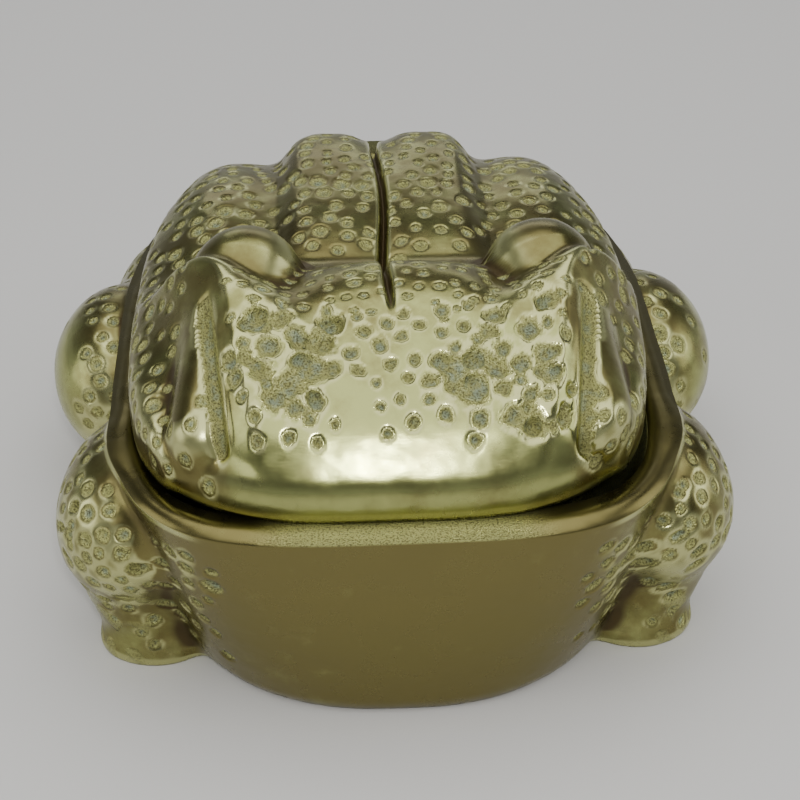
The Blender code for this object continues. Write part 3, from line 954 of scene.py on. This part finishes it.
def finish_lid():
    shells = [(lid_points, lid_quads, lid_fans), (knuckle_points, knuckle_faces, [])]
    lid, points = make_piece("frog_lid", shells)
    skin = np.arange(len(points)) < lid_skin_count
    plate, nape, small = [mask * skin for mask in lid_masks(points)]
    store(lid, "pit", np.zeros(len(points)))
    head_x, y = head_half(drifted(points))[:, 0], points[:, 1]
    faults = plate * np.exp(-((head_x - FAULT_X) / 7.5) ** 4 - ((y - FAULT_Y) / 8.5) ** 4)
    store(lid, "mould_faults", faults)
    store(lid, "forehead_pits", plate * (1.0 - 0.6 * faults))
    store(lid, "nape_pits", nape)
    store(lid, "back_pits", small)
    slits = np.clip(slit_share(points) * 1.3, 0.0, 1.0) * skin
    forehead = ramp(-y, 24.0, 36.0) * ramp(-head_x, -28.0, -24.0)
    store(lid, "polish", -0.25 + 1.25 * forehead)
    unfiled = np.where(y > KNUCKLE_FRONT_Y, HINGE_GRIT, INSIDE_GRIT)
    store(lid, "rough_cast", np.maximum(slits, np.where(skin, 0.0, unfiled)))
    punch(lid, CASTING_METAL, where="mould_faults", spacing=0.0034, smallest=0.0020,
          largest=0.0046, depth=0.0015, wall=0.10, ragged=0.0032, grain=0.0007, seed=11,
          waviness=0.0003)
    punch(lid, CASTING_METAL, where="forehead_pits", spacing=0.0031, smallest=0.0011,
          largest=0.0027, depth=0.0011, wall=0.15, ragged=0.0018, grain=0.0004, seed=4)
    punch(lid, CASTING_METAL, where="nape_pits", spacing=0.0026, smallest=0.0008,
          largest=0.0017, depth=0.0005, wall=0.15, ragged=0.0010, grain=0.0002, seed=5,
          stretch=(0.8, 1.1, 1.0))
    punch(lid, CASTING_METAL, where="back_pits", spacing=0.0033, smallest=0.0013,
          largest=0.0026, depth=0.0008, wall=0.0, ragged=0.0012, grain=0.0002, seed=3,
          stretch=(1.1, 0.95, 1.0))
    freeze(lid)
    measure_relief(lid, lid_skin_count)
    return lid


lid = finish_lid()


# %% [markdown]
# ## The base casting
# The belly wall was filed smooth and only a few stray pits reach it at the sides.  The
# shoulders, knees and thighs carry the same small ovals as the back.

# %% Masks for the tub
LUG_FRONT_Y = TUB_RIM[1] - 6.0
RIM_POLISH = -1.2


def tub_masks(points):
    x, y, z = points.T
    leg, hind = tub_limbs(points)
    body = tub_body(points)
    limb = np.minimum(leg, hind)
    on_limb = ramp(body - limb, 0.4, 2.2)
    outer = on_limb * ramp(z, 1.5, 4.0)
    upper = ramp(z, 17.0, 24.0)
    knee_face = np.exp(-((np.abs(x) - 58.0) / 5.0) ** 2 - ((y - 6.0) / 11.0) ** 2)
    small = outer * (0.25 + 0.75 * upper) * (1.0 - 0.9 * knee_face)
    belly_side = ramp(np.abs(x), 25.0, 31.0) * ramp(-y, 28.0, 36.0) * (1.0 - 0.7 * on_limb)
    stray = belly_side * ramp(z, 5.0, 10.0) * ramp(-z, -34.5, -31.0)
    return small, stray


def patchy(points, pitch):
    """A slow, uneven swell between 0 and 1 over a surface."""
    x, y, z = points.T * pitch * 2.0 * math.pi
    swell = np.sin(x + 1.3 * np.sin(0.7 * z)) + np.sin(1.3 * y + 0.8 * np.sin(z + x)) + np.sin(z * 0.9)
    return ramp(swell, 0.0, 1.4)


def finish_tub():
    shells = [(tub_points, tub_quads, tub_fans), (lug_points, lug_faces, []),
              (far_points, far_faces, [])]
    tub, points = make_piece("frog_tub", shells)
    skin = np.arange(len(points)) < TUB_COLUMNS * (TUB_ROWS + 1)
    small, stray = [mask * skin for mask in tub_masks(points)]
    store(tub, "pit", np.zeros(len(points)))
    store(tub, "limb_pits", small)
    store(tub, "belly_pits", stray)
    # the front belly gets a heavier brown film: part tarnish, part a painted dark reflection
    belly_film_and_dark_reflection = ramp(-points[:, 1], 36.0, 48.0) * ramp(-np.abs(points[:, 0]), -36.0, -28.0)
    knees = ramp(np.abs(points[:, 0]), 52.0, 58.0)
    on_rim = np.abs(points[:, 2] - RIM_HEIGHT) < 0.05
    store(tub, "polish", np.where(on_rim, RIM_POLISH, -0.2 - 0.9 * belly_film_and_dark_reflection + 1.0 * knees))
    unfiled = np.where(points[:, 1] > LUG_FRONT_Y, HINGE_GRIT, INSIDE_GRIT)
    rough = np.where(skin, 0.0, unfiled)
    worn_mould = 0.6 * patchy(points, 0.16) * ramp(-points[:, 2], -24.0, -16.0)
    rough = np.maximum(rough, 0.5 * worn_mould * ramp(np.abs(points[:, 0]), 36.0, 41.0) * skin)
    front = ramp(-np.abs(points[:, 0]), -30.0, -12.0) * (points[:, 1] < 0.0)
    store(tub, "rough_cast", np.where(on_rim, 0.04 + 0.36 * front, rough))
    punch(tub, CASTING_METAL, where="limb_pits", spacing=0.0030, smallest=0.0012,
          largest=0.0023, depth=0.0007, wall=0.05, ragged=0.0010, grain=0.0001, seed=8,
          waviness=0.0003)
    punch(tub, CASTING_METAL, where="belly_pits", spacing=0.0034, smallest=0.0011,
          largest=0.0026, depth=0.0012, wall=0.2, ragged=0.0014, grain=0.0003, seed=21,
          stretch=(0.8, 1.0, 1.2))
    freeze(tub)
    measure_relief(tub, TUB_COLUMNS * (TUB_ROWS + 1))
    return tub


tub = finish_tub()

# %% [markdown]
# ## Camera, floor and light
# The view looks down at the frog's face from a little over thirty degrees, close enough for
# the head to look large.  A small soft box near the camera gives the bright patch on the
# lip, a wide one overhead lights the back, and weaker ones fill the sides.

# %% Set the camera
CAMERA_DISTANCE = 0.300
CAMERA_TURN = math.radians(2.6)
CAMERA_RISE = math.radians(34.0)
LENS = 75.6
AIM_OFFSET = Vector((0.0021, -0.0044, -0.0057))
target = Vector((0.0, 0.0, 0.030))
away = Vector((-math.sin(CAMERA_TURN) * math.cos(CAMERA_RISE),
               -math.cos(CAMERA_TURN) * math.cos(CAMERA_RISE), math.sin(CAMERA_RISE)))
camera_data = bpy.data.cameras.new("camera")
camera_data.lens = LENS
camera_data.clip_start = 0.01
camera = bpy.data.objects.new("camera", camera_data)
camera.location = target + away * CAMERA_DISTANCE
aim = target + AIM_OFFSET
camera.rotation_euler = (aim - camera.location).to_track_quat("-Z", "Y").to_euler()
bpy.context.scene.collection.objects.link(camera)
bpy.context.scene.camera = camera


# %% Lay the floor
FLOOR_REACH = 1.5
FLOOR_HEIGHT = -0.0001


def make_floor():
    turns = ((-1, -1), (1, -1), (1, 1), (-1, 1))
    corners = [(FLOOR_REACH * x, FLOOR_REACH * y, FLOOR_HEIGHT) for x, y in turns]
    mesh = bpy.data.meshes.new("floor")
    mesh.from_pydata(corners, [], [(0, 1, 2, 3)])
    floor = bpy.data.objects.new("floor", mesh)
    bpy.context.scene.collection.objects.link(floor)
    material, graph = new_graph("pale_floor")
    shader = graph.node("ShaderNodeBsdfPrincipled", None,
                        {"Base Color": (0.62, 0.61, 0.59, 1.0), "Roughness": 0.7})
    graph.node("ShaderNodeOutputMaterial", None, {"Surface": shader["BSDF"]})
    mesh.materials.append(material)
    return floor


floor = make_floor()


# %% Hang the lights
def soft_box(name, place, width, height, watts, colour=(1.0, 1.0, 1.0)):
    data = bpy.data.lights.new(name, "AREA")
    data.shape = "RECTANGLE"
    data.size = width
    data.size_y = height
    data.energy = watts
    data.color = colour
    light = bpy.data.objects.new(name, data)
    light.location = place
    light.rotation_euler = (Vector((0.0, 0.0, 0.03)) - Vector(place)).to_track_quat("-Z", "Y").to_euler()
    bpy.context.scene.collection.objects.link(light)


soft_box("overhead", (0.0, -0.05, 0.80), 1.25, 1.25, 8.6)
soft_box("key", (0.01, -0.33, 0.31), 0.035, 0.035, 0.55)
soft_box("left_fill", (-0.70, -0.10, 0.25), 0.4, 0.4, 0.9)
soft_box("right_fill", (0.70, 0.00, 0.30), 0.4, 0.4, 0.9)
soft_box("back_fill", (0.0, 0.75, 0.35), 0.6, 0.2, 0.5)
world = bpy.data.worlds.new("studio")
world.use_nodes = True
world.node_tree.nodes.clear()
air = Graph(world.node_tree)
height = air.node("ShaderNodeSeparateXYZ", None, {0: air.node("ShaderNodeTexCoord")["Generated"]})["Z"]
glow = air.span(height, 0.0, 0.42, 0.42, 0.13)
backdrop = air.node("ShaderNodeBackground", None, {"Color": (0.95, 0.98, 1.0, 1.0), "Strength": glow})
air.node("ShaderNodeOutputWorld", None, {"Surface": backdrop["Background"]})
bpy.context.scene.world = world

# %% [markdown]
# ## Riding on the frame
# Each finished piece replaces its plain solid and rides on the same body, so the lid still
# swings about its pin.

# %% Replace the solids
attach(lid, "lid")
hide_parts("lid_casting")
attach(tub, "base")
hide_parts("base_casting")
pin = frame["nodes"]["hinge_pin"]
pin.data.materials.clear()
pin.data.materials.append(PIN_METAL)
